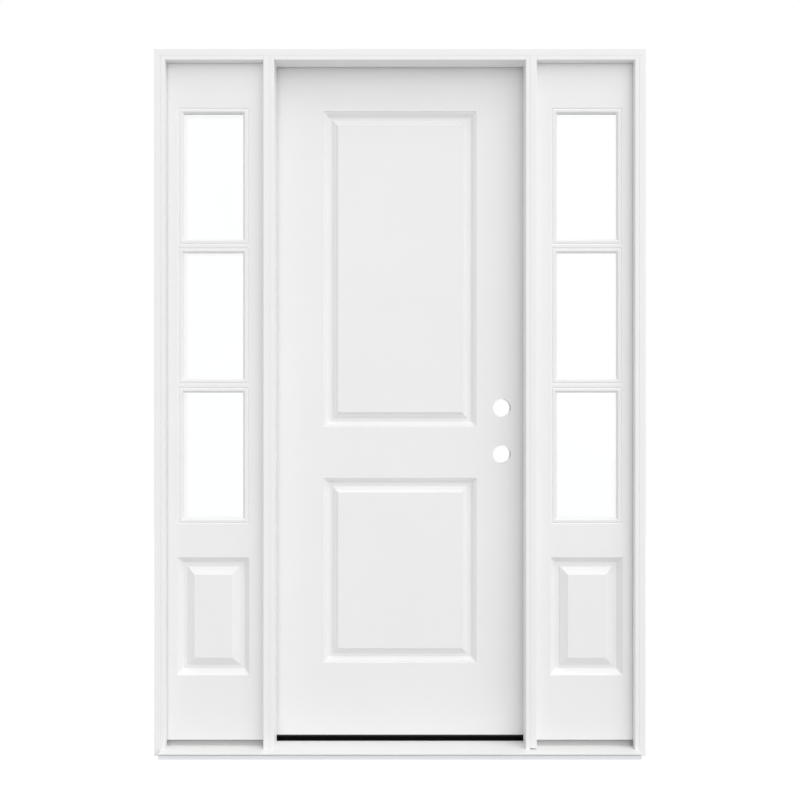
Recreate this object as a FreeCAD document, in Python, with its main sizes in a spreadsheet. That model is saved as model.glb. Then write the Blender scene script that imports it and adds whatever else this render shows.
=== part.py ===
import FreeCAD, Part
import os
import re
import Sketcher

# An inswing entry door with a fixed sidelight on each hand, in one frame.
# X runs to the right as seen from outside, Y into the building and Z up.
# The origin is on the underside of the sill, midway across the frame,
# in the plane of the outside edges of the jambs.

SIZES = {
    # frame boards
    "frame_height": 2067,
    "jamb_depth": 116,
    "jamb_thick": 19,
    "jamb_rabbet": 9.5,
    "foot_gap": 4.5,
    "foot_gap_depth": 18,
    "stop_thick": 12.7,
    "arris": 1.5,
    "head_arris": 1,
    "door_bay": 762,
    "side_bay": 300,
    # sill
    "nose_reach": 32,
    "nose_top": 17.5,
    "nose_lip": 3,
    "drip_depth": 4,
    "drip_foot": 11,
    "lip_ease": 0.7,
    "sill_top": 20,
    "flat_lead": -5,
    "deck_thick": 2,
    "cap_setback": -4,
    "cap_inset": 4,
    "cap_height": 6.5,
    "cap_ease": 2.5,
    "slab_lift": 37.3,
    "riser_setback": 14,
    "riser_foot": 4,
    # slabs
    "slab_thick": 44.5,
    "skin": 2,
    "door_gap": 5.2,
    "lock_bevel": 2.6,
    "side_recess": 29,
    "side_fit": 1,
    "side_shift": 1.6,
    "stop_seal": 3.5,
    "inner_stop_depth": 19,
    "stop_joint": 0.5,
    # seals
    "seal_gap": 11,
    "seal_thick": 5.5,
    "seal_width": 10,
    "seal_nose": 2,
    "sweep_height": 5.8,
    "sweep_inset": 3,
    "sweep_end": 2,
    "sweep_base": 2,
    "fin_width": 2.5,
    # door panels
    "stile_face": 147,
    "top_rail_face": 136.3,
    "lock_rail_face": 154,
    "bottom_rail_face": 215.6,
    "lower_panel": 553.9,
    "quirk_width": 1.8,
    "quirk_depth": 4,
    "quirk_shelf": 3.4,
    "mould_bevel": 10.6,
    "mould_depth": 14.6,
    "mould_flat": 9,
    "field_step": 6.8,
    "field_step_rise": 5.6,
    "field_slope": 3.9,
    "field_slope_rise": 1.3,
    "field_lip": 7.8,
    "field_drop": 0.4,
    # inside the door
    "stile_wood": 38,
    "top_wood": 38,
    "bottom_wood": 60,
    "block_width": 98,
    "block_end": 90,
    # lock preparation
    "backset": 70,
    "bore_width": 54,
    "latch_width": 25.4,
    "lock_height": 839.7,
    "lock_spacing": 139.7,
    "faceplate_width": 25.4,
    "faceplate_height": 57,
    "faceplate_depth": 2.4,
    "strike_height": 70,
    "strike_depth": 2,
    "strike_hole": 16,
    # sidelight lites
    "lite_width": 175,
    "lite_height": 370.5,
    "lite_bar": 13.9,
    "lite_top": 160,
    "lite_frame": 14,
    "lite_depth": 6.2,
    "lite_groove": 3,
    "lite_groove_drop": 1.8,
    "lite_bevel": 5.5,
    "lite_bevel_drop": 5,
    "bead_face": 5,
    "bead_width": 8,
    "unit_thick": 25.4,
    "pane": 3.2,
    "pane_fit": 1.5,
    "glazing_tape": 0.4,
    "spacer_seal": 0.2,
    "spacer_width": 6,
    # sidelight panel
    "side_panel_width": 214,
    "side_panel_gap": 101.6,
    "side_panel_foot": 190.1,
    "side_bevel": 16.8,
    "side_depth": 16.5,
    "side_flat": 11,
    "side_step": 3.7,
    "side_step_width": 2.4,
    "side_slope": 21.3,
    # hinges
    "hinge_height": 102,
    "hinge_top": 178,
    "hinge_foot": 254,
    "leaf_thick": 2.4,
    "leaf_reach": 27,
    "leaf_corner": 6,
    "barrel_width": 12.7,
    "barrel_out": 7.5,
    "pin_width": 7,
    "pin_fit": 0.1,
    "pin_head": 10,
    "pin_head_height": 2.5,
    "knuckle_play": 0.4,
    # how far a cutting tool runs past the face it starts from
    "overcut": 5,
}

LITES = 3
FINS = 4
KNUCKLES = 5
EXTERIOR = 1
INTERIOR = -1

# Two places closer together than this, in mm, count as one.
SAME = 1e-6

doc = FreeCAD.newDocument("entry_door")
sheet = doc.addObject("Spreadsheet::Sheet", "Sizes")
for row, (alias, size) in enumerate(SIZES.items(), start=1):
    sheet.set(f"A{row}", alias)
    sheet.set(f"B{row}", str(size))
    sheet.setAlias(f"B{row}", alias)
doc.recompute()

# Places worked out from the driving sizes.
DOOR_HALF = "(door_bay / 2)"
SIDE_NEAR = f"({DOOR_HALF} + jamb_thick)"
SIDE_FAR = f"({SIDE_NEAR} + side_bay)"
SIDE_MID = f"({SIDE_NEAR} + side_bay / 2 + side_shift)"
FRAME_HALF = f"({SIDE_FAR} + jamb_thick)"
HEAD_UNDER = "(frame_height - jamb_thick)"
STOP_UNDER = f"({HEAD_UNDER} - stop_thick)"
DOOR_FACE = "(jamb_depth - slab_thick)"
DOOR_EDGE = f"({DOOR_HALF} - door_gap)"
DOOR_TOP = f"({HEAD_UNDER} - door_gap)"
STOP_BACK = f"({DOOR_FACE} - seal_gap)"
SILL_FLAT = f"({DOOR_FACE} + flat_lead)"
CAP_FRONT = f"({DOOR_FACE} + cap_setback)"
CAP_BACK = "(jamb_depth - cap_inset)"
SIDE_BACK = "(side_recess + slab_thick)"
SHALLOW_BACK = "(side_recess - stop_seal)"
SIDE_TOP = f"({HEAD_UNDER} - side_fit)"
INNER_BACK = f"({SIDE_BACK} + inner_stop_depth)"
PANEL_HALF = f"({DOOR_EDGE} - stile_face)"
PANEL_TOP = f"({DOOR_TOP} - top_rail_face)"
LOWER_FOOT = "(slab_lift + bottom_rail_face)"
LOWER_TOP = f"({LOWER_FOOT} + lower_panel)"
UPPER_FOOT = f"({LOWER_TOP} + lock_rail_face)"
BORE_X = f"({DOOR_EDGE} - backset)"
PIN_X = f"(-{DOOR_HALF} + door_gap / 2)"
PIN_Y = "(jamb_depth + barrel_out)"
HINGE_FEET = (
    "(slab_lift + hinge_foot)",
    f"((slab_lift + hinge_foot + {DOOR_TOP} - hinge_top - hinge_height) / 2)",
    f"({DOOR_TOP} - hinge_top - hinge_height)",
)
LOCK_HEIGHTS = (
    "(slab_lift + lock_height)",
    "(slab_lift + lock_height + lock_spacing)",
)


def words(text):
    """Turn size words into references to the sheet."""
    return re.sub(r"[a-z_]{2,}", lambda found: "Sizes." + found.group(), text)


def value(text):
    return float(sheet.evalExpression(words(text)))


def bind(obj, prop, text):
    obj.setExpression(prop, words(text))


def board(name, x, y, z):
    """A square-edged board between low and high places on each axis."""
    box = doc.addObject("Part::Box", name)
    for prop, axis, (low, high) in (("Length", "x", x), ("Width", "y", y), ("Height", "z", z)):
        bind(box, prop, f"{high} - ({low})")
        bind(box, f"Placement.Base.{axis}", low)
    return box


def rod(name, width, length, x, y, z, turn=None):
    """A round bar from a starting point, along Z unless turned."""
    bar = doc.addObject("Part::Cylinder", name)
    bind(bar, "Radius", f"({width}) / 2")
    bind(bar, "Height", length)
    if turn:
        bar.Placement.Rotation = turn
    for axis, place in (("x", x), ("y", y), ("z", z)):
        bind(bar, f"Placement.Base.{axis}", place)
    return bar


def across(low, high, side):
    """The span from low to high on one hand of the frame."""
    if side > 0:
        return (low, high)
    return (f"-({high})", f"-({low})")


def cut(name, base, *tools):
    result = doc.addObject("Part::Cut", name)
    result.Base = base
    result.Tool = tools[0] if len(tools) == 1 else fuse(name + "_tools", *tools)
    return result


def fuse(name, *pieces):
    result = doc.addObject("Part::MultiFuse", name)
    result.Shapes = list(pieces)
    result.Refine = True
    return result


def common(name, base, tool):
    result = doc.addObject("Part::MultiCommon", name)
    result.Shapes = [base, tool]
    return result


def group(name, pieces):
    """Like pieces that do not touch, kept together under one name."""
    result = doc.addObject("Part::Compound", name)
    result.Links = list(pieces)
    return result


def eased(name, base, along, y, size="arris"):
    """Take the arris off the edges that run along an axis at a depth y."""
    doc.recompute()
    line = {"x": FreeCAD.Vector(1, 0, 0), "z": FreeCAD.Vector(0, 0, 1)}[along]
    depth = value(y)
    picked = []
    for number, edge in enumerate(base.Shape.Edges, start=1):
        spot = edge.CenterOfMass
        run = edge.Vertexes[-1].Point - edge.Vertexes[0].Point
        if abs(spot.y - depth) < SAME and run.cross(line).Length < SAME:
            picked.append((number, value(size), value(size)))
    result = doc.addObject("Part::Fillet", name)
    result.Base = base
    result.Edges = picked
    return result


def outline(sketch, points):
    """A closed polygon with each corner tied to the sheet."""
    spots = [FreeCAD.Vector(value(u), value(v), 0) for u, v in points]
    count = len(spots)
    for i, spot in enumerate(spots):
        sketch.addGeometry(Part.LineSegment(spot, spots[(i + 1) % count]))
    for i in range(count):
        sketch.addConstraint(Sketcher.Constraint("Coincident", i, 2, (i + 1) % count, 1))
    for i, corner in enumerate(points):
        for kind, text in zip(("DistanceX", "DistanceY"), corner):
            number = sketch.addConstraint(Sketcher.Constraint(kind, -1, 1, i, 1, value(text)))
            bind(sketch, f"Constraints[{number}]", text)


def prism(name, plane, points, start, length):
    """A body padded from a polygon on one of its origin planes."""
    body = doc.addObject("PartDesign::Body", name)
    sketch = body.newObject("Sketcher::SketchObject", name + "_outline")
    support = next(each for each in body.Origin.OriginFeatures if each.Role == plane)
    sketch.AttachmentSupport = (support, [""])
    sketch.MapMode = "FlatFace"
    bind(sketch, "AttachmentOffset.Base.z", start)
    outline(sketch, points)
    pad = body.newObject("PartDesign::Pad", name + "_length")
    pad.Profile = sketch
    bind(pad, "Length", length)
    body.Tip = pad
    return body


def rectangle(name, x, y, z):
    """A rectangular path at depth y that starts midway up its low side."""
    path = doc.addObject("Sketcher::SketchObject", name)
    path.Placement.Rotation = FreeCAD.Rotation(FreeCAD.Vector(1, 0, 0), 90)
    bind(path, "Placement.Base.y", y)
    half = f"(({z[0]}) + ({z[1]})) / 2"
    outline(path, [(x[0], half), (x[0], z[0]), (x[1], z[0]), (x[1], z[1]), (x[0], z[1])])
    return path


def section(name, x, y, z, facing, points):
    """A moulding section: distances in from the path's edge, then depths below the face."""
    shape = doc.addObject("Sketcher::SketchObject", name)
    if facing == INTERIOR:
        shape.Placement.Rotation = FreeCAD.Rotation(FreeCAD.Vector(1, 0, 0), 180)
    bind(shape, "Placement.Base.x", x[0])
    bind(shape, "Placement.Base.y", y)
    bind(shape, "Placement.Base.z", f"(({z[0]}) + ({z[1]})) / 2")
    outline(shape, points)
    return shape


def swept(name, path, profile):
    """The section carried round the rectangle with mitred corners."""
    ring = doc.addObject("Part::Sweep", name)
    ring.Sections = [profile]
    ring.Spine = (path, [f"Edge{i + 1}" for i in range(path.GeometryCount)])
    ring.Solid = True
    ring.Frenet = False
    ring.Transition = "Right corner"
    return ring


def embossed(name, x, y, z, facing, points):
    """Two rings for one pressed panel: the groove, and the groove made larger by the skin."""
    path = rectangle(name + "_path", x, y, z)
    profile = section(name + "_section", x, y, z, facing, points)
    wider = doc.addObject("Part::Offset2D", name + "_wider")
    wider.Source = profile
    wider.Join = "Intersection"
    bind(wider, "Value", "skin")
    return swept(name + "_groove", path, profile), swept(name + "_trough", path, wider)


def sandwich(name, blank, x, y, z, rings, openings):
    """Two pressed skins and the filling between them, cut from one blank."""
    grooves = [groove for groove, trough in rings]
    troughs = [trough for groove, trough in rings]
    shell = cut(name + "_shell", blank, *grooves, *openings)
    zone = board(name + "_zone", x, (f"{y[0]} + skin", f"{y[1]} - skin"), z)
    inside = common(name + "_inside", blank, zone)
    filling = cut(name + "_filling", inside, *troughs, *openings)
    skins = cut(name + "_skins", shell, filling)
    middle = f"(({y[0]}) + ({y[1]})) / 2"
    front = board(name + "_front_half", x, (f"{y[0]} - overcut", middle), z)
    back = board(name + "_back_half", x, (middle, f"{y[1]} + overcut"), z)
    return common(name + "_front", skins, front), common(name + "_back", skins, back), filling


PARTS = {}


def keep(node, shape):
    """Put a finished piece under its node name."""
    shape.Label = node
    PARTS[node] = shape


SIDES = (("left", -1), ("right", 1))

# The outline of the whole sill, used to shape the feet of what stands on it.
SILL_TOPS = [("-nose_reach", "nose_top"), (SILL_FLAT, "sill_top"), ("jamb_depth", "sill_top")]
sill_outline = prism(
    "SillOutline",
    "YZ_Plane",
    [("jamb_depth", "0"), ("-nose_reach", "0")] + SILL_TOPS,
    f"-{FRAME_HALF}",
    f"2 * {FRAME_HALF}",
)

# Side jambs run down past the sill's ends; the head sits in a rabbet at their tops.
for hand, side in SIDES:
    plain = board(
        f"{hand}_jamb_board",
        across(SIDE_FAR, FRAME_HALF, side),
        ("0", "jamb_depth"),
        ("0", "frame_height"),
    )
    soft = eased(f"{hand}_jamb_eased", plain, "z", "0")
    seat = board(
        f"{hand}_jamb_seat",
        across(f"{SIDE_FAR} - overcut", f"{SIDE_FAR} + jamb_rabbet", side),
        ("-overcut", "jamb_depth + overcut"),
        (HEAD_UNDER, "frame_height + overcut"),
    )
    keep(f"{hand}_jamb", cut(f"{hand}_jamb_shape", soft, seat))

head = board(
    "head_board",
    (f"-({SIDE_FAR} + jamb_rabbet)", f"{SIDE_FAR} + jamb_rabbet"),
    ("0", "jamb_depth"),
    (HEAD_UNDER, "frame_height"),
)
keep("head_jamb", eased("head_eased", head, "x", "0", "head_arris"))


# Hinge leaves: a plate with two rounded corners, used for the leaves and for their mortises.
def hinge_plate(name, x, foot):
    plate = board(
        name + "_flat",
        x,
        ("jamb_depth - leaf_reach", "jamb_depth"),
        (foot, f"{foot} + hinge_height"),
    )
    doc.recompute()
    low = value("jamb_depth - leaf_reach")
    picked = []
    for number, edge in enumerate(plate.Shape.Edges, start=1):
        spot = edge.CenterOfMass
        run = edge.Vertexes[-1].Point - edge.Vertexes[0].Point
        if abs(spot.y - low) < SAME and abs(run.x) > SAME:
            picked.append((number, value("leaf_corner"), value("leaf_corner")))
    rounded = doc.addObject("Part::Fillet", name)
    rounded.Base = plate
    rounded.Edges = picked
    return rounded


FRAME_LEAF_X = (f"-{DOOR_HALF} - leaf_thick", f"-{DOOR_HALF}")
DOOR_LEAF_X = (f"-{DOOR_EDGE}", f"-{DOOR_EDGE} + leaf_thick")
frame_plates = [hinge_plate(f"frame_plate_{i}", FRAME_LEAF_X, foot) for i, foot in enumerate(HINGE_FEET)]
door_plates = [hinge_plate(f"door_plate_{i}", DOOR_LEAF_X, foot) for i, foot in enumerate(HINGE_FEET)]

# Strikes: a shallow seat and a bolt hole in the right mullion for each lock.
ALONG_Y = FreeCAD.Rotation(FreeCAD.Vector(1, 0, 0), -90)
ALONG_X = FreeCAD.Rotation(FreeCAD.Vector(0, 1, 0), 90)
MID_Y = f"({DOOR_FACE} + slab_thick / 2)"
strikes = []
for i, height in enumerate(LOCK_HEIGHTS):
    seat_x = (f"{DOOR_HALF} - overcut", f"{DOOR_HALF} + strike_depth")
    seat_y = (f"{MID_Y} - faceplate_width / 2", "jamb_depth + overcut")
    seat_z = (f"{height} - strike_height / 2", f"{height} + strike_height / 2")
    strikes.append(board(f"strike_seat_{i}", seat_x, seat_y, seat_z))
    strikes.append(rod(f"strike_hole_{i}", "latch_width", "strike_hole", DOOR_HALF, MID_Y, height, ALONG_X))

# The strike mullion's outside corner is cut back a little at its foot, over the sill.
FOOT_TOP = f"(nose_top + (sill_top - nose_top) * nose_reach / ({SILL_FLAT} + nose_reach) + foot_gap)"
strikes.append(
    board(
        "mullion_foot_gap",
        (f"{DOOR_HALF} - overcut", f"{SIDE_NEAR} + overcut"),
        ("-overcut", "foot_gap_depth"),
        ("-overcut", FOOT_TOP),
    )
)

# Mullions stand on the sill under the head; one carries the hinges and the other the strikes.
for hand, side in SIDES:
    plain = board(
        f"{hand}_mullion_board",
        across(DOOR_HALF, SIDE_NEAR, side),
        ("0", "jamb_depth"),
        ("0", HEAD_UNDER),
    )
    soft = eased(f"{hand}_mullion_eased", plain, "z", "0")
    seats = frame_plates if side < 0 else strikes
    keep(f"{hand}_mullion", cut(f"{hand}_mullion_shape", soft, sill_outline, *seats))

# Stops: the door closes towards the deep ones, and the sidelights seat on tape behind the shallow ones.
for hand, side in SIDES:
    deep = board(
        f"{hand}_door_stop_board",
        across(f"{DOOR_HALF} - stop_thick", DOOR_HALF, side),
        ("0", STOP_BACK),
        ("0", HEAD_UNDER),
    )
    soft = eased(f"{hand}_door_stop_eased", deep, "z", "0")
    keep(f"{hand}_door_stop", cut(f"{hand}_door_stop_shape", soft, sill_outline))
    shallow = board(
        f"{hand}_outer_stop_board",
        across(f"{SIDE_FAR} - stop_thick", SIDE_FAR, side),
        ("0", SHALLOW_BACK),
        ("0", HEAD_UNDER),
    )
    soft = eased(f"{hand}_outer_stop_eased", shallow, "z", "0")
    keep(f"{hand}_outer_stop", cut(f"{hand}_outer_stop_shape", soft, sill_outline))
    top = board(
        f"{hand}_head_stop_board",
        across(SIDE_NEAR, f"{SIDE_FAR} - stop_thick", side),
        ("0", SHALLOW_BACK),
        (STOP_UNDER, HEAD_UNDER),
    )
    keep(f"{hand}_head_stop", eased(f"{hand}_head_stop_eased", top, "x", "0", "head_arris"))

top = board(
    "head_door_stop_board",
    (f"-({DOOR_HALF} - stop_thick)", f"{DOOR_HALF} - stop_thick"),
    ("0", STOP_BACK),
    (STOP_UNDER, HEAD_UNDER),
)
keep("head_door_stop", eased("head_door_stop_eased", top, "x", "0", "head_arris"))

# Sill: a composite base, an aluminium deck that overhangs it in front, and a cap under the door.
# The base has a drip groove just below the overhang.
DECK_SLOPE = f"((sill_top - nose_top) / ({SILL_FLAT} + nose_reach))"
BASE_FRONT = "(-nose_reach + nose_lip)"
DRIP_BACK = f"({BASE_FRONT} + drip_depth)"
DRIP_TOP = f"(nose_top - deck_thick + {DECK_SLOPE} * (nose_lip + drip_depth))"
DECK_UNDER = "(sill_top - deck_thick)"
deck = prism(
    "sill_deck_shape",
    "YZ_Plane",
    [
        ("-nose_reach", "nose_top - lip_ease"),
        ("-nose_reach + lip_ease", f"nose_top + {DECK_SLOPE} * lip_ease"),
        (SILL_FLAT, "sill_top"),
        ("jamb_depth", "sill_top"),
        ("jamb_depth", DECK_UNDER),
        (SILL_FLAT, DECK_UNDER),
        ("-nose_reach", "nose_top - deck_thick"),
    ],
    f"-{SIDE_FAR}",
    f"2 * {SIDE_FAR}",
)
keep("sill_deck", deck)
base = prism(
    "sill_base_shape",
    "YZ_Plane",
    [
        (BASE_FRONT, "0"),
        ("jamb_depth", "0"),
        ("jamb_depth", DECK_UNDER),
        (SILL_FLAT, DECK_UNDER),
        (DRIP_BACK, DRIP_TOP),
        (DRIP_BACK, "drip_foot"),
        (BASE_FRONT, "drip_foot"),
    ],
    f"-{SIDE_FAR}",
    f"2 * {SIDE_FAR}",
)
keep("sill_base", base)
CAP_TOP = "(sill_top + cap_height)"
cap = prism(
    "threshold_cap_shape",
    "YZ_Plane",
    [
        (CAP_FRONT, "sill_top"),
        (CAP_BACK, "sill_top"),
        (CAP_BACK, f"{CAP_TOP} - cap_ease"),
        (f"{CAP_BACK} - cap_ease", CAP_TOP),
        (f"{CAP_FRONT} + cap_ease", CAP_TOP),
        (CAP_FRONT, f"{CAP_TOP} - cap_ease"),
    ],
    f"-{DOOR_HALF}",
    "door_bay",
)
keep("threshold_cap", cap)

# Risers carry the sidelights on the sill, and slope outwards to shed water.
for hand, side in SIDES:
    block = prism(
        f"{hand}_riser_block",
        "YZ_Plane",
        [
            ("side_recess + riser_foot", "0"),
            (INNER_BACK, "0"),
            (INNER_BACK, "slab_lift"),
            ("side_recess + riser_setback", "slab_lift"),
            ("side_recess + riser_foot", "sill_top"),
        ],
        across(SIDE_NEAR, SIDE_FAR, side)[0],
        "side_bay",
    )
    keep(f"{hand}_riser", cut(f"{hand}_riser_shape", block, sill_outline))

# Seals on the backs of the door stops, clear of the closed door.
SEAL_FRONT = f"({STOP_BACK} + seal_thick)"
seals = []
for hand, side in SIDES:
    near, far = across(f"{DOOR_HALF} - seal_width", DOOR_HALF, side)
    strip = board(f"{hand}_seal_strip", (near, far), (STOP_BACK, SEAL_FRONT), ("0", HEAD_UNDER))
    soft = eased(f"{hand}_seal_soft", strip, "z", SEAL_FRONT, "seal_nose")
    seals.append(cut(f"{hand}_seal_shape", soft, sill_outline))
strip = board(
    "head_seal_strip",
    (f"-({DOOR_HALF} - seal_width - stop_joint)", f"{DOOR_HALF} - seal_width - stop_joint"),
    (STOP_BACK, SEAL_FRONT),
    (f"{HEAD_UNDER} - seal_width", HEAD_UNDER),
)
seals.append(eased("head_seal_soft", strip, "x", SEAL_FRONT, "seal_nose"))
keep("door_weatherstrip", group("weatherstrip", seals))

# Door slab: pressed skins over stiles, rails, a lock block and a core.
SHELF_END = "(quirk_width + quirk_shelf)"
BEVEL_END = f"({SHELF_END} + mould_bevel)"
FLAT_END = f"({BEVEL_END} + mould_flat)"
STEP_END = f"({FLAT_END} + field_step)"
SLOPE_END = f"({STEP_END} + field_slope)"
LIP_END = f"({SLOPE_END} + field_lip)"
DOOR_MOULD = [
    ("0", "-overcut"),
    ("0", "0"),
    ("quirk_width", "quirk_depth"),
    (SHELF_END, "quirk_depth"),
    (BEVEL_END, "mould_depth"),
    (FLAT_END, "mould_depth"),
    (STEP_END, "mould_depth - field_step_rise"),
    (SLOPE_END, "mould_depth - field_step_rise - field_slope_rise"),
    (LIP_END, "field_drop"),
    (LIP_END, "-overcut"),
]
PANEL_X = (f"-{PANEL_HALF}", PANEL_HALF)
DOOR_Y = (DOOR_FACE, "jamb_depth")
DOOR_Z = ("slab_lift", DOOR_TOP)
DOOR_X = (f"-{DOOR_EDGE}", DOOR_EDGE)
rings = []
for label, heights in (("upper", (UPPER_FOOT, PANEL_TOP)), ("lower", (LOWER_FOOT, LOWER_TOP))):
    rings.append(embossed(f"{label}_outside", PANEL_X, DOOR_FACE, heights, EXTERIOR, DOOR_MOULD))
    rings.append(embossed(f"{label}_inside", PANEL_X, "jamb_depth", heights, INTERIOR, DOOR_MOULD))

blank = prism(
    "door_blank",
    "XY_Plane",
    [
        (DOOR_X[0], DOOR_FACE),
        (f"{DOOR_EDGE} - lock_bevel", DOOR_FACE),
        (DOOR_EDGE, "jamb_depth"),
        (DOOR_X[0], "jamb_depth"),
    ],
    "slab_lift",
    f"{DOOR_TOP} - slab_lift",
)
outside, inside, filling = sandwich("door", blank, DOOR_X, DOOR_Y, DOOR_Z, rings, [])

bores = []
latches = []
faceplates = []
for i, height in enumerate(LOCK_HEIGHTS):
    start = f"{DOOR_FACE} - overcut"
    bores.append(rod(f"bore_{i}", "bore_width", "slab_thick + 2 * overcut", BORE_X, start, height, ALONG_Y))
    latches.append(rod(f"latch_{i}", "latch_width", "backset + overcut", BORE_X, MID_Y, height, ALONG_X))
    seat_x = (f"{DOOR_EDGE} - lock_bevel / 2 - faceplate_depth", f"{DOOR_EDGE} + overcut")
    seat_y = (f"{MID_Y} - faceplate_width / 2", f"{MID_Y} + faceplate_width / 2")
    seat_z = (f"{height} - faceplate_height / 2", f"{height} + faceplate_height / 2")
    faceplates.append(board(f"faceplate_{i}", seat_x, seat_y, seat_z))

keep("door_exterior_skin", cut("door_exterior", outside, *bores))
keep("door_interior_skin", cut("door_interior", inside, *bores, *door_plates))

FILL_Y = (f"{DOOR_FACE} + skin", "jamb_depth - skin")
LEFT_STILE = (DOOR_X[0], f"{DOOR_X[0]} + stile_wood")
RIGHT_STILE = (f"{DOOR_EDGE} - stile_wood", DOOR_EDGE)
BETWEEN = (LEFT_STILE[1], RIGHT_STILE[0])
hinge_stile = common("hinge_stile_blank", blank, board("hinge_stile_zone", LEFT_STILE, FILL_Y, DOOR_Z))
keep("door_hinge_stile", cut("hinge_stile_shape", hinge_stile, *door_plates))
lock_stile = common("lock_stile_blank", blank, board("lock_stile_zone", RIGHT_STILE, FILL_Y, DOOR_Z))
keep("door_lock_stile", cut("lock_stile_shape", lock_stile, *latches, *faceplates))
RAIL_TOP = (f"{DOOR_TOP} - top_wood", DOOR_TOP)
RAIL_FOOT = ("slab_lift", "slab_lift + bottom_wood")
keep("door_top_rail", board("top_rail_shape", BETWEEN, FILL_Y, RAIL_TOP))
keep("door_bottom_rail", board("bottom_rail_shape", BETWEEN, FILL_Y, RAIL_FOOT))
BLOCK_X = (f"{BETWEEN[1]} - block_width", BETWEEN[1])
BLOCK_Z = (f"{LOCK_HEIGHTS[0]} - block_end", f"{LOCK_HEIGHTS[1]} + block_end")
block = board("lock_block_blank", BLOCK_X, FILL_Y, BLOCK_Z)
keep("door_lock_block", cut("lock_block_shape", block, *bores, *latches))
middle = board("core_zone", BETWEEN, FILL_Y, (RAIL_FOOT[1], RAIL_TOP[0]))
keep("door_core", cut("core_shape", common("core_blank", filling, middle), block))

# Sweep under the door: a strip with a row of fins that stop short of the cap.
SWEEP_BACK = "(jamb_depth - sweep_inset)"
FIN_GAP = f"((slab_thick - 2 * sweep_inset - {FINS} * fin_width) / {FINS - 1})"
fins = [(f"{DOOR_FACE} + sweep_inset", "slab_lift"), (SWEEP_BACK, "slab_lift")]
for i in range(FINS):
    back = f"{SWEEP_BACK} - {i} * (fin_width + {FIN_GAP})"
    front = f"{back} - fin_width"
    if i > 0:
        fins.append((back, "slab_lift - sweep_base"))
    fins.append((back, "slab_lift - sweep_height"))
    fins.append((front, "slab_lift - sweep_height"))
    if i < FINS - 1:
        fins.append((front, "slab_lift - sweep_base"))
sweep = prism(
    "sweep_strip",
    "YZ_Plane",
    fins,
    f"{DOOR_X[0]} + sweep_end",
    f"2 * {DOOR_EDGE} - lock_bevel - 2 * sweep_end",
)
keep("door_sweep", sweep)

# Hinges: alternate knuckles belong to the frame and to the door, with a loose pin through all.
PITCH = f"(hinge_height / {KNUCKLES})"


def leaf(name, plate, x, foot, first):
    """A hinge leaf with every other knuckle, bored for the pin."""
    pieces = [plate]
    for turn in range(first, KNUCKLES, 2):
        low = f"{foot} + {turn} * {PITCH} + knuckle_play / 2"
        high = f"{foot} + {turn + 1} * {PITCH} - knuckle_play / 2"
        pieces.append(board(f"{name}_arm_{turn}", x, ("jamb_depth", PIN_Y), (low, high)))
        pieces.append(
            rod(f"{name}_knuckle_{turn}", "barrel_width", f"{PITCH} - knuckle_play", PIN_X, PIN_Y, low)
        )
    hole = rod(
        f"{name}_hole",
        "pin_width + 2 * pin_fit",
        "hinge_height + 2 * overcut",
        PIN_X,
        PIN_Y,
        f"{foot} - overcut",
    )
    return cut(name, fuse(name + "_solid", *pieces), hole)


frame_leaves = []
door_leaves = []
pins = []
for i, foot in enumerate(HINGE_FEET):
    frame_leaves.append(leaf(f"frame_leaf_{i}", frame_plates[i], FRAME_LEAF_X, foot, 0))
    door_leaves.append(leaf(f"door_leaf_{i}", door_plates[i], DOOR_LEAF_X, foot, 1))
    low = f"{foot} + knuckle_play / 2"
    top = f"{foot} + hinge_height - knuckle_play / 2"
    stem = rod(f"pin_{i}_stem", "pin_width", "hinge_height", PIN_X, PIN_Y, low)
    button = rod(f"pin_{i}_head", "pin_head", "pin_head_height", PIN_X, PIN_Y, top)
    pins.append(fuse(f"pin_{i}", stem, button))
keep("hinge_frame_leaves", group("frame_leaves", frame_leaves))
keep("hinge_door_leaves", group("door_leaves", door_leaves))
keep("hinge_pins", group("pins", pins))

# Sidelights: pressed skins over a core, with three flush-glazed lites above one panel.
# The skins roll inwards round each opening, and the lite frames start from there.
# Each sealed unit of two panes lies between a bevelled frame outside and a splayed bead inside.
SIDE_STEP_END = "(side_bevel + side_flat + side_step_width)"
SIDE_MOULD = [
    ("0", "-overcut"),
    ("0", "0"),
    ("side_bevel", "side_depth"),
    ("side_bevel + side_flat", "side_depth"),
    (SIDE_STEP_END, "side_depth - side_step"),
    (f"{SIDE_STEP_END} + side_slope", "field_drop"),
    (f"{SIDE_STEP_END} + side_slope", "-overcut"),
]
OPENING_ROLL = [
    ("0", "-overcut"),
    ("0", "0"),
    ("lite_groove", "lite_groove_drop"),
    ("lite_groove + overcut", "lite_groove_drop"),
    ("lite_groove + overcut", "-overcut"),
]
LITE_MOULD = [
    ("0", "lite_depth"),
    ("0", "lite_groove_drop"),
    ("lite_groove", "0"),
    ("lite_frame - lite_bevel", "0"),
    ("lite_frame", "lite_bevel_drop"),
    ("lite_frame", "lite_depth"),
]
BEAD_DEPTH = "(slab_thick - lite_depth - unit_thick - 2 * glazing_tape)"
BEAD_MOULD = [
    ("0", BEAD_DEPTH),
    ("0", "lite_groove_drop"),
    ("lite_groove", "0"),
    ("bead_face", "0"),
    ("bead_width", BEAD_DEPTH),
]
SIDE_Y = ("side_recess", SIDE_BACK)
SIDE_Z = ("slab_lift", SIDE_TOP)
PANEL_FOOT = "(slab_lift + side_panel_foot)"
LITE_PITCH = "(lite_height + 2 * lite_frame + lite_bar)"
LITES_FOOT = f"({SIDE_TOP} - lite_top + lite_frame + lite_bar - {LITES} * {LITE_PITCH})"
SIDE_PANEL_TOP = f"({LITES_FOOT} - side_panel_gap)"
UNIT_FRONT = "(side_recess + lite_depth + glazing_tape)"
UNIT_BACK = f"({UNIT_FRONT} + unit_thick)"
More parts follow.
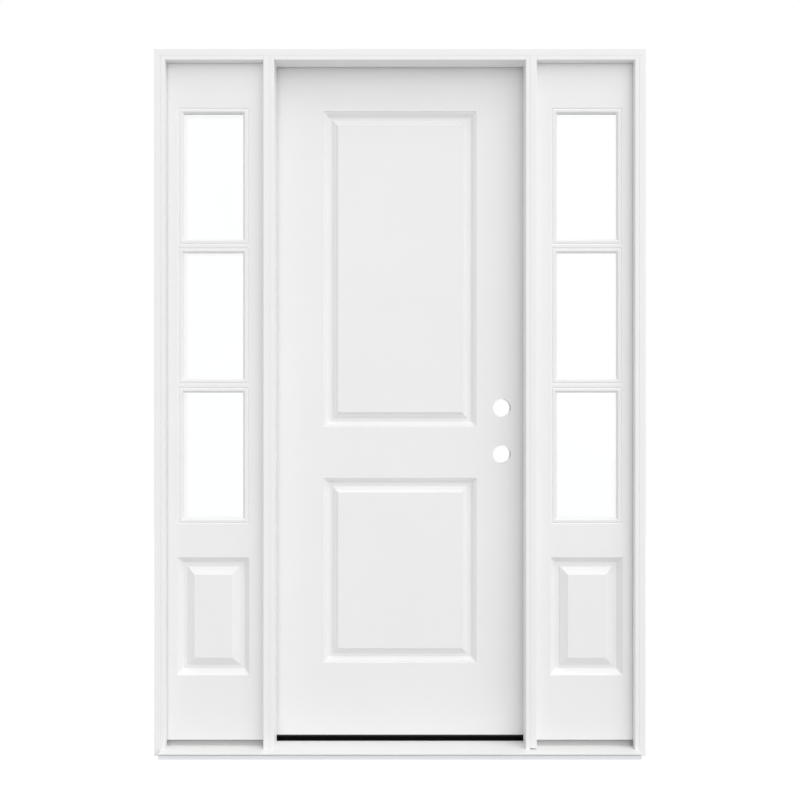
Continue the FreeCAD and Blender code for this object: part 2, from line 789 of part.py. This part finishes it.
FRONT_PANE = (UNIT_FRONT, f"{UNIT_FRONT} + pane")
BACK_PANE = (f"{UNIT_BACK} - pane", UNIT_BACK)


def middle_span(half, side):
    """The span of a half width each way from the sidelight's centre line."""
    return across(f"{SIDE_MID} - ({half})", f"{SIDE_MID} + ({half})", side)


for hand, side in SIDES:
    x = across(f"{SIDE_NEAR} + side_fit", f"{SIDE_FAR} - side_fit", side)
    blank = board(f"{hand}_side_blank", x, SIDE_Y, SIDE_Z)
    span = middle_span("side_panel_width / 2", side)
    heights = (PANEL_FOOT, SIDE_PANEL_TOP)
    rings = [
        embossed(f"{hand}_side_outside", span, "side_recess", heights, EXTERIOR, SIDE_MOULD),
        embossed(f"{hand}_side_inside", span, SIDE_BACK, heights, INTERIOR, SIDE_MOULD),
    ]
    openings = []
    outer_frames = []
    inner_frames = []
    panes = []
    spacers = []
    for i in range(LITES):
        sight_top = f"({SIDE_TOP} - lite_top - {i} * {LITE_PITCH})"
        across_x = middle_span("lite_width / 2 + lite_frame", side)
        up_z = (f"{sight_top} - lite_height - lite_frame", f"{sight_top} + lite_frame")
        past = ("side_recess - overcut", f"{SIDE_BACK} + overcut")
        openings.append(board(f"{hand}_opening_{i}", across_x, past, up_z))
        for frames, face, facing, mould in (
            (outer_frames, "side_recess", EXTERIOR, LITE_MOULD),
            (inner_frames, SIDE_BACK, INTERIOR, BEAD_MOULD),
        ):
            label = f"{hand}_lite_{i}_{len(outer_frames)}_{len(inner_frames)}"
            path = rectangle(label + "_path", across_x, face, up_z)
            profile = section(label + "_section", across_x, face, up_z, facing, mould)
            frames.append(swept(label, path, profile))
            roll_x = middle_span("lite_width / 2 + lite_frame + lite_groove", side)
            roll_z = (f"{up_z[0]} - lite_groove", f"{up_z[1]} + lite_groove")
            rings.append(embossed(label + "_roll", roll_x, face, roll_z, facing, OPENING_ROLL))
        glass_x = middle_span("lite_width / 2 + lite_frame - pane_fit", side)
        glass_z = (f"{up_z[0]} + pane_fit", f"{up_z[1]} - pane_fit")
        for place, depth in (("front", FRONT_PANE), ("back", BACK_PANE)):
            panes.append(board(f"{hand}_{place}_pane_{i}", glass_x, depth, glass_z))
        between = (f"{FRONT_PANE[1]} + spacer_seal", f"{BACK_PANE[0]} - spacer_seal")
        bar = board(f"{hand}_spacer_bar_{i}", glass_x, between, glass_z)
        gap = board(
            f"{hand}_spacer_gap_{i}",
            middle_span("lite_width / 2 + lite_frame - pane_fit - spacer_width", side),
            past,
            (f"{glass_z[0]} + spacer_width", f"{glass_z[1]} - spacer_width"),
        )
        spacers.append(cut(f"{hand}_spacer_{i}", bar, gap))
    outside, inside, filling = sandwich(f"{hand}_side", blank, x, SIDE_Y, SIDE_Z, rings, openings)
    keep(f"{hand}_sidelight_exterior_skin", outside)
    keep(f"{hand}_sidelight_interior_skin", inside)
    keep(f"{hand}_sidelight_core", filling)
    keep(f"{hand}_lite_frames_exterior", group(f"{hand}_outer_frames", outer_frames))
    keep(f"{hand}_lite_frames_interior", group(f"{hand}_inner_frames", inner_frames))
    keep(f"{hand}_glass", group(f"{hand}_panes", panes))
    keep(f"{hand}_glass_spacers", group(f"{hand}_spacers", spacers))

    # Inner stops hold the sidelight against the outer ones.
    depth = (SIDE_BACK, INNER_BACK)
    tall = ("slab_lift", HEAD_UNDER)
    short = across(
        f"{SIDE_NEAR} + stop_thick + stop_joint",
        f"{SIDE_FAR} - stop_thick - stop_joint",
        side,
    )
    strips = [
        board(f"{hand}_inner_near", across(SIDE_NEAR, f"{SIDE_NEAR} + stop_thick", side), depth, tall),
        board(f"{hand}_inner_far", across(f"{SIDE_FAR} - stop_thick", SIDE_FAR, side), depth, tall),
        board(f"{hand}_inner_head", short, depth, (STOP_UNDER, HEAD_UNDER)),
        board(f"{hand}_inner_foot", short, depth, ("slab_lift", "slab_lift + stop_thick")),
    ]
    keep(f"{hand}_inner_stops", group(f"{hand}_inner_strips", strips))

doc.recompute()
for obj in doc.Objects:
    if "Invalid" in obj.State or "Error" in obj.State:
        raise RuntimeError(f"{obj.Name} did not build: {obj.State}")
os.makedirs("parts", exist_ok=True)
for node, piece in PARTS.items():
    if piece.Shape.isNull() or not piece.Shape.isValid() or not piece.Shape.Solids:
        raise RuntimeError(f"{node} is not a sound solid")
    piece.Shape.exportStep(f"parts/{node}.step")
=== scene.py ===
import math
import bmesh
import bpy
from mathutils import Matrix, Vector


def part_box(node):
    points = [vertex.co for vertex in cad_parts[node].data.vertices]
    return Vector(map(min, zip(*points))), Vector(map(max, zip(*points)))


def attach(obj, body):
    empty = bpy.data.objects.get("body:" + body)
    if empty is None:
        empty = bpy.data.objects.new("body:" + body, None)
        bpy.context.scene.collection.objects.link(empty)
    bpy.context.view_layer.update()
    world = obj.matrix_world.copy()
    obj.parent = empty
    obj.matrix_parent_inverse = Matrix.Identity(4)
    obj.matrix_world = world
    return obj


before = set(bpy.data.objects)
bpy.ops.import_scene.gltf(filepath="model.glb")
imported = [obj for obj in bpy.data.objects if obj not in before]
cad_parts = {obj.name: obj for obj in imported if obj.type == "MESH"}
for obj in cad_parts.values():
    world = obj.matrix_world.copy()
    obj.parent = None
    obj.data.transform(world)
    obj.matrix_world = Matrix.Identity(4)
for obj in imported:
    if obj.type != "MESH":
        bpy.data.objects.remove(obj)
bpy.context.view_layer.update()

# Frame boards: jambs, head, mullions and stops of finger-jointed pine, planed and
# spray-painted white in the shop, then nailed together. The eye sees a satin film
# with a faint orange peel, and nothing of the grain.
BOARD_NODES = (
    "left_jamb", "right_jamb", "head_jamb", "left_mullion", "right_mullion",
    "left_door_stop", "right_door_stop", "head_door_stop",
    "left_outer_stop", "right_outer_stop", "left_head_stop", "right_head_stop",
    "left_inner_stops", "right_inner_stops",
)
BOARD_WHITE = "F3F3F3"
BOARD_SHADE = "F0F0F0"
DRIFT_MM = 260
GLOSS_SPREAD = 0.04
MM = 0.001


def linear(hex_colour):
    """An sRGB hex colour as the linear values that shaders take."""
    levels = [int(hex_colour[i:i + 2], 16) / 255 for i in (0, 2, 4)]
    return [c / 12.92 if c <= 0.04045 else ((c + 0.055) / 1.055) ** 2.4 for c in levels] + [1.0]


def add_node(tree, kind, inputs=None, **settings):
    """Adds one shader node, then fills or links its input sockets."""
    made = tree.nodes.new(kind)
    for name, setting in settings.items():
        setattr(made, name, setting)
    for name, source in (inputs or {}).items():
        if isinstance(source, bpy.types.NodeSocket):
            tree.links.new(source, made.inputs[name])
        else:
            made.inputs[name].default_value = source
    return made


def new_material(name):
    """A new material with its node tree, its surface shader and its pattern's coordinates."""
    material = bpy.data.materials.new(name)
    material.use_nodes = True
    tree = material.node_tree
    place = add_node(tree, "ShaderNodeTexCoord").outputs["Object"]
    return material, tree, tree.nodes["Principled BSDF"], place


def per_metre(millimetres):
    """The texture scale that gives a pattern of this real size."""
    return 1.0 / (millimetres * MM)


def paint_film(name, light, shade, roughness, peel_mm, peel_height_mm):
    """A coat or moulded skin: slow drift in tone and gloss, and a peel at its real size."""
    material, tree, surface, place = new_material(name)
    drift = add_node(
        tree, "ShaderNodeTexNoise",
        {"Vector": place, "Scale": per_metre(DRIFT_MM), "Detail": 3.0},
    )
    tone = add_node(
        tree, "ShaderNodeMix",
        {"Factor": drift.outputs["Fac"], 6: linear(shade), 7: linear(light)},
        data_type="RGBA",
    )
    gloss = add_node(
        tree, "ShaderNodeMapRange",
        {
            "Value": drift.outputs["Fac"],
            "To Min": roughness - GLOSS_SPREAD,
            "To Max": roughness + GLOSS_SPREAD,
        },
    )
    peel = add_node(
        tree, "ShaderNodeTexNoise",
        {"Vector": place, "Scale": per_metre(peel_mm), "Detail": 2.0},
    )
    bump = add_node(
        tree, "ShaderNodeBump",
        {"Height": peel.outputs["Fac"], "Strength": 1.0, "Distance": peel_height_mm * MM},
    )
    tree.links.new(tone.outputs[2], surface.inputs["Base Color"])
    tree.links.new(gloss.outputs["Result"], surface.inputs["Roughness"])
    tree.links.new(bump.outputs["Normal"], surface.inputs["Normal"])
    return material


def dress(nodes, material):
    """Gives CAD nodes their finish."""
    for node in nodes:
        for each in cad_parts[node].material_slots:
            each.material = material


board_paint = paint_film(
    "satin_enamel_on_pine", BOARD_WHITE, BOARD_SHADE,
    roughness=0.45, peel_mm=2.2, peel_height_mm=0.012,
)
dress(BOARD_NODES, board_paint)

# Sill: a pale wood-plastic base under an aluminium deck with a white powder coat. A black
# vinyl cap lies below the door, a vinyl riser stands below each sidelight, grey with painted
# shade from the sidelight above it, and the door's sweep, also of vinyl, comes down to the cap.
DECK_WHITE = "EFEFEF"
DECK_SHADE = "ECECEC"
BASE_PALE = "EFF0F3"
BASE_FLECK = "E7E8EC"
FLECK_MM = 4.0
VINYL_BLACK = "020202"
VINYL_BLACK_BLOOM = "070707"
SWEEP_GREY = "3C3C3E"
SWEEP_BLOOM = "424244"
BLOOM_MM = 90
VINYL_GRAIN_MM = 0.8
VINYL_GRAIN_HEIGHT_MM = 0.03
# The riser's grey is painted shade: it darkens the vinyl as the sidelight's overhang would.
RISER_PAINTED_SHADE_GREY = "BABBBF"
RISER_SHADE = "B5B6BA"

# Powder coat gives the eye an even, matt white.
deck_coat = paint_film(
    "white_powder_coat_on_aluminium", DECK_WHITE, DECK_SHADE,
    roughness=0.7, peel_mm=0.8, peel_height_mm=0.004,
)
dress(["sill_deck"], deck_coat)

# Wood-plastic board is matt, with faint flecks of wood flour.
base_board, tree, surface, place = new_material("wood_plastic_composite")
flecks = add_node(
    tree, "ShaderNodeTexNoise",
    {"Vector": place, "Scale": per_metre(FLECK_MM), "Detail": 5.0},
)
tone = add_node(
    tree, "ShaderNodeMix",
    {"Factor": flecks.outputs["Fac"], 6: linear(BASE_FLECK), 7: linear(BASE_PALE)},
    data_type="RGBA",
)
tree.links.new(tone.outputs[2], surface.inputs["Base Color"])
surface.inputs["Roughness"].default_value = 0.75
dress(["sill_base"], base_board)


def soft_vinyl(name, colour, bloom):
    """Extruded vinyl: a dark tone with a faint bloom, nearly no gloss, and a fine matt grain."""
    material, tree, surface, place = new_material(name)
    haze = add_node(
        tree, "ShaderNodeTexNoise",
        {"Vector": place, "Scale": per_metre(BLOOM_MM), "Detail": 4.0},
    )
    tone = add_node(
        tree, "ShaderNodeMix",
        {"Factor": haze.outputs["Fac"], 6: linear(colour), 7: linear(bloom)},
        data_type="RGBA",
    )
    grain = add_node(
        tree, "ShaderNodeTexNoise",
        {"Vector": place, "Scale": per_metre(VINYL_GRAIN_MM), "Detail": 2.0},
    )
    bump = add_node(
        tree, "ShaderNodeBump",
        {"Height": grain.outputs["Fac"], "Distance": VINYL_GRAIN_HEIGHT_MM * MM},
    )
    tree.links.new(tone.outputs[2], surface.inputs["Base Color"])
    tree.links.new(bump.outputs["Normal"], surface.inputs["Normal"])
    surface.inputs["Roughness"].default_value = 0.75
    surface.inputs["Specular IOR Level"].default_value = 0.06
    return material


dress(["threshold_cap"], soft_vinyl("black_vinyl", VINYL_BLACK, VINYL_BLACK_BLOOM))
dress(["door_sweep"], soft_vinyl("grey_vinyl_sweep", SWEEP_GREY, SWEEP_BLOOM))
# Vinyl riser, coloured grey as painted shade cast by the sidelight's bottom edge above it.
riser_painted_shade = paint_film(
    "grey_vinyl", RISER_PAINTED_SHADE_GREY, RISER_SHADE,
    roughness=0.6, peel_mm=1.2, peel_height_mm=0.008,
)
dress(["left_riser", "right_riser"], riser_painted_shade)

# Door slab: two pressed steel skins with a baked white finish over softwood stiles and
# rails, a lock block and a foam core, all glued up under pressure.
SKIN_WHITE = "F2F2F2"
SKIN_SHADE = "EEEEEE"
PINE_LIGHT = "E2C493"
PINE_DARK = "C79C63"
GRAIN_MM = 6.0
GRAIN_RUN = 0.06
BLOCK_WHITE = "F0F0EE"
BLOCK_SHADE = "ECECEA"
FOAM_PALE = "E6DDB8"
FOAM_DEEP = "D6CB9F"
CELL_MM = 1.5

# Baked enamel is smoother than the sprayed boards, with a low satin gloss.
skin_paint = paint_film(
    "baked_enamel_on_steel", SKIN_WHITE, SKIN_SHADE,
    roughness=0.42, peel_mm=1.6, peel_height_mm=0.01,
)
dress(["door_exterior_skin", "door_interior_skin"], skin_paint)

# Bare pine shows on the slab's edges, straw and honey in long, slightly wavy grain.
bare_pine, tree, surface, place = new_material("planed_pine")
along = add_node(tree, "ShaderNodeMapping", {"Vector": place, "Scale": (1.0, 1.0, GRAIN_RUN)})
rings = add_node(
    tree, "ShaderNodeTexNoise",
    {"Vector": along.outputs["Vector"], "Scale": per_metre(GRAIN_MM), "Detail": 6.0, "Distortion": 0.6},
)
tone = add_node(
    tree, "ShaderNodeMix",
    {"Factor": rings.outputs["Fac"], 6: linear(PINE_DARK), 7: linear(PINE_LIGHT)},
    data_type="RGBA",
)
tree.links.new(tone.outputs[2], surface.inputs["Base Color"])
surface.inputs["Roughness"].default_value = 0.6
dress(["door_hinge_stile", "door_lock_stile", "door_top_rail", "door_bottom_rail"], bare_pine)

# Foamed PVC is a dull white with a pitted skin where the bores cut it.
block_plastic = paint_film(
    "white_foamed_pvc", BLOCK_WHITE, BLOCK_SHADE,
    roughness=0.7, peel_mm=1.0, peel_height_mm=0.03,
)
dress(["door_lock_block"], block_plastic)

# Rigid foam is a dry, pale yellow with fine closed cells.
foam, tree, surface, place = new_material("rigid_foam")
cells = add_node(tree, "ShaderNodeTexVoronoi", {"Vector": place, "Scale": per_metre(CELL_MM)})
tone = add_node(
    tree, "ShaderNodeMix",
    {"Factor": cells.outputs["Distance"], 6: linear(FOAM_PALE), 7: linear(FOAM_DEEP)},
    data_type="RGBA",
)
tree.links.new(tone.outputs[2], surface.inputs["Base Color"])
surface.inputs["Roughness"].default_value = 0.9
dress(["door_core", "left_sidelight_core", "right_sidelight_core"], foam)

# Weatherstrip: foam in a soft polyethylene skin, fixed on the backs of the door stops. The
# skin is a warm white with a slight sheen, and dimpled where the foam shows through.
SEAL_WHITE = "EAEAE8"
SEAL_SHADE = "E4E4E2"
seal_skin = paint_film(
    "polyethylene_seal", SEAL_WHITE, SEAL_SHADE,
    roughness=0.55, peel_mm=3.0, peel_height_mm=0.02,
)
dress(["door_weatherstrip"], seal_skin)

# Sidelights: pressed skins like the door's, with moulded lite frames that clamp
# double-glazed units from both faces, on white spacers.
HANDS = ("left", "right")
FACES = ("exterior", "interior")
FRAME_WHITE = "F1F1F1"
FRAME_SHADE = "EFEFEF"
GLASS_CLEAR = "FFFFFF"
GLASS_TINT = "FEFFFF"
FILM_MM = 180
SPACER_WHITE = "F4F4F4"
SPACER_SHADE = "F1F1F1"
dress([f"{hand}_sidelight_{face}_skin" for hand in HANDS for face in FACES], skin_paint)

# The moulded frames have the skins' satin white, with a finer grain.
frame_plastic = paint_film(
    "moulded_white_frame", FRAME_WHITE, FRAME_SHADE,
    roughness=0.45, peel_mm=0.9, peel_height_mm=0.006,
)
dress([f"{hand}_lite_frames_{face}" for hand in HANDS for face in FACES], frame_plastic)

# Float glass is clear and sharp, with a very faint uneven tint from its coating. It throws
# no shadow, so that the lamps reach what is behind it.
glass, tree, surface, place = new_material("clear_float_glass")
film = add_node(
    tree, "ShaderNodeTexNoise",
    {"Vector": place, "Scale": per_metre(FILM_MM), "Detail": 1.0},
)
tone = add_node(
    tree, "ShaderNodeMix",
    {"Factor": film.outputs["Fac"], 6: linear(GLASS_CLEAR), 7: linear(GLASS_TINT)},
    data_type="RGBA",
)
tree.links.new(tone.outputs[2], surface.inputs["Base Color"])
surface.inputs["Roughness"].default_value = 0.0
surface.inputs["IOR"].default_value = 1.52
surface.inputs["Transmission Weight"].default_value = 1.0
panes = [f"{hand}_glass" for hand in HANDS]
dress(panes, glass)
for pane in panes:
    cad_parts[pane].visible_shadow = False

# The spacers' coating is an even, half-matt white.
spacer_coat = paint_film(
    "white_coated_spacer", SPACER_WHITE, SPACER_SHADE,
    roughness=0.5, peel_mm=0.7, peel_height_mm=0.004,
)
dress([f"{hand}_glass_spacers" for hand in HANDS], spacer_coat)

# Hinges: stamped and rolled steel leaves on loose pins, plated with satin nickel. It is a
# warm grey metal, with fine upright lines from the brushing that break up its gloss.
NICKEL = "C9C6C0"
BRUSH_MM = 0.8
BRUSH_RUN = 0.05
NICKEL_SMOOTH = 0.26
NICKEL_ROUGH = 0.4
nickel, tree, surface, place = new_material("satin_nickel")
brush = add_node(tree, "ShaderNodeMapping", {"Vector": place, "Scale": (1.0, 1.0, BRUSH_RUN)})
lines = add_node(
    tree, "ShaderNodeTexNoise",
    {"Vector": brush.outputs["Vector"], "Scale": per_metre(BRUSH_MM), "Detail": 3.0},
)
gloss = add_node(
    tree, "ShaderNodeMapRange",
    {"Value": lines.outputs["Fac"], "To Min": NICKEL_SMOOTH, "To Max": NICKEL_ROUGH},
)
surface.inputs["Base Color"].default_value = linear(NICKEL)
surface.inputs["Metallic"].default_value = 1.0
tree.links.new(gloss.outputs["Result"], surface.inputs["Roughness"])
dress(["hinge_frame_leaves", "hinge_door_leaves", "hinge_pins"], nickel)

# Screws: raised countersunk steel heads with a cross recess, plated to match the hinges.
# Four hold each leaf in its mortise. Lengths are in millimetres. The reaches, the slit and
# the taper are shares, of a head's width and of the recess.
SCREW_WIDTH = 9.0
SCREW_RISE = 0.7
SCREW_SEAT = 0.4
RECESS_REACH = 0.29
RECESS_SLIT = 0.078
RECESS_DEPTH = 0.55
RECESS_TAPER = 0.55
CROWN_REACH = 0.38
CROWN_DROP = 0.12
RIM_DROP = 0.45
SCREW_TURN = 37.0
HINGE_HEIGHT = 102
HINGE_FOOT = 254
HINGE_TOP = 178
LEAF_REACH = 27
LEAF_HOLES = ((13, 8.5), (38, 17.5), (64, 17.5), (89, 8.5))
scene = bpy.context.scene


def screw_head(mesh, spot, way, turn):
    """Adds one head: a cross at the crown, rings out to the rim, and a recess in the cross."""
    before = set(mesh.verts)
    reach = RECESS_REACH * SCREW_WIDTH * MM
    slit = RECESS_SLIT * SCREW_WIDTH * MM
    bmesh.ops.create_grid(mesh, x_segments=3, y_segments=3, size=reach)
    fresh = {v for v in mesh.verts if v not in before}
    for v in fresh:
        for axis in (0, 1):
            if abs(v.co[axis]) < reach / 2:
                v.co[axis] = math.copysign(slit, v.co[axis])
        v.co.z = SCREW_RISE * MM
    cross = [
        f for f in mesh.faces
        if f.verts[0] in fresh and min(abs(c) for c in f.calc_center_median().xy) < slit / 2
    ]
    edge = [e for e in mesh.edges if e.is_boundary and e.verts[0] in fresh]
    for radius, height in (
        (CROWN_REACH * SCREW_WIDTH, SCREW_RISE - CROWN_DROP),
        (SCREW_WIDTH / 2, SCREW_RISE - RIM_DROP),
        (SCREW_WIDTH / 2, -SCREW_SEAT),
    ):
        ring = bmesh.ops.extrude_edge_only(mesh, edges=edge)["geom"]
        for v in (g for g in ring if isinstance(g, bmesh.types.BMVert)):
            v.co.xy = v.co.xy.normalized() * radius * MM
            v.co.z = height * MM
        edge = [g for g in ring if isinstance(g, bmesh.types.BMEdge) and g.is_boundary]
    bmesh.ops.contextual_create(mesh, geom=edge)
    pressed = bmesh.ops.extrude_face_region(mesh, geom=cross)["geom"]
    bmesh.ops.delete(mesh, geom=cross, context="FACES")
    for v in (g for g in pressed if isinstance(g, bmesh.types.BMVert)):
        v.co.xy *= RECESS_TAPER
        v.co.z -= RECESS_DEPTH * MM
    made = [v for v in mesh.verts if v not in before]
    stand = Vector(way).to_track_quat("Z", "Y").to_matrix().to_4x4()
    bmesh.ops.transform(
        mesh, matrix=Matrix.Translation(spot) @ stand @ Matrix.Rotation(turn, 4, "Z"), verts=made,
    )


def screws(name, spots, way, body):
    """One piece for a leaf side's screws, each left at its own angle."""
    mesh = bmesh.new()
    for count, spot in enumerate(spots):
        screw_head(mesh, Vector(spot), way, math.radians(SCREW_TURN * count))
    bmesh.ops.recalc_face_normals(mesh, faces=mesh.faces)
    data = bpy.data.meshes.new(name)
    mesh.to_mesh(data)
    mesh.free()
    data.materials.append(nickel)
    piece = bpy.data.objects.new(name, data)
    scene.collection.objects.link(piece)
    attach(piece, body)


slab_low, slab_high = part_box("door_interior_skin")
lowest = slab_low.z + HINGE_FOOT * MM
highest = slab_high.z - (HINGE_TOP + HINGE_HEIGHT) * MM
leaf_edge = slab_high.y - LEAF_REACH * MM
holes = [
    (leaf_edge + in_y * MM, foot + up_z * MM)
    for foot in (lowest, (lowest + highest) / 2, highest)
    for up_z, in_y in LEAF_HOLES
]
jamb_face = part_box("left_mullion")[1].x
slab_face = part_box("door_hinge_stile")[0].x
screws("frame_leaf_screws", [(jamb_face, y, z) for y, z in holes], (1, 0, 0), "frame")
screws("door_leaf_screws", [(slab_face, y, z) for y, z in holes], (-1, 0, 0), "door")

# Studio: a floor that keeps the shadow, and a world, both drawn white in the picture. Two
# soft lamps stand in front, above and to the right, and one behind. Rays through the glass
# don't see the lamps, which would burn out its edges.
FLOOR_SIZE = 9.0
FLOOR_GREY = "C0C0C0"
FLOOR_LIFT = 0.62
WHITE = "FFFFFF"
AMBIENT = 0.66
LAMPS = (
    ("wide_key", {"way": (0.44, -0.73, 0.52), "degrees": 78, "strength": 1.12}),
    ("high_key", {"way": (0.3, -0.35, 0.88), "degrees": 30, "strength": 0.467}),
    ("back_key", {"way": (-0.5, 0.75, 0.43), "degrees": 50, "strength": 0.8}),
)
scene.view_settings.view_transform = "Standard"


def pictured(tree):
    """A socket that is 1 on rays that draw the picture: straight, mirrored or through glass."""
    rays = add_node(tree, "ShaderNodeLightPath").outputs
    direct = add_node(
        tree, "ShaderNodeMath",
        {0: rays["Is Camera Ray"], 1: rays["Is Glossy Ray"]},
        operation="MAXIMUM",
    )
    every = add_node(
        tree, "ShaderNodeMath",
        {0: direct.outputs[0], 1: rays["Is Transmission Ray"]},
        operation="MAXIMUM",
    )
    return every.outputs[0]


floor_mesh = bpy.data.meshes.new("floor")
sheet = bmesh.new()
bmesh.ops.create_grid(sheet, x_segments=1, y_segments=1, size=FLOOR_SIZE / 2)
sheet.to_mesh(floor_mesh)
sheet.free()
floor = bpy.data.objects.new("floor", floor_mesh)
scene.collection.objects.link(floor)
floor_paper, tree, surface, _ = new_material("white_paper")
lift = add_node(tree, "ShaderNodeMath", {0: pictured(tree), 1: FLOOR_LIFT}, operation="MULTIPLY")
surface.inputs["Base Color"].default_value = linear(FLOOR_GREY)
surface.inputs["Roughness"].default_value = 0.9
surface.inputs["Emission Color"].default_value = linear(WHITE)
tree.links.new(lift.outputs[0], surface.inputs["Emission Strength"])
floor_mesh.materials.append(floor_paper)

world = bpy.data.worlds.new("white_studio")
world.use_nodes = True
scene.world = world
tree = world.node_tree
tree.nodes.clear()
level = add_node(
    tree, "ShaderNodeMapRange",
    {"Value": pictured(tree), "To Min": AMBIENT, "To Max": 1.0},
)
sky = add_node(
    tree, "ShaderNodeBackground",
    {"Color": linear(WHITE), "Strength": level.outputs["Result"]},
)
add_node(tree, "ShaderNodeOutputWorld", {"Surface": sky.outputs["Background"]})

for lamp_name, setting in LAMPS:
    lamp = bpy.data.lights.new(lamp_name, "SUN")
    lamp.angle = math.radians(setting["degrees"])
    lamp.energy = setting["strength"]
    holder = bpy.data.objects.new(lamp_name, lamp)
    holder.rotation_euler = Vector(setting["way"]).to_track_quat("Z", "Y").to_euler()
    holder.visible_transmission = False
    scene.collection.objects.link(holder)

# Camera: straight in front of the door, a little over a metre up, with a normal lens.
CAMERA_HEIGHT = 1.0406
CAMERA_DISTANCE = 2.766
LENS_MM = 42.58
SENSOR_MM = 36.0
camera = bpy.data.cameras.new("camera")
camera.sensor_width = SENSOR_MM
camera.lens = LENS_MM
viewer = bpy.data.objects.new("camera", camera)
viewer.location = (0.0, -CAMERA_DISTANCE, CAMERA_HEIGHT)
viewer.rotation_euler = (math.radians(90), 0.0, 0.0)
scene.collection.objects.link(viewer)
scene.camera = viewer
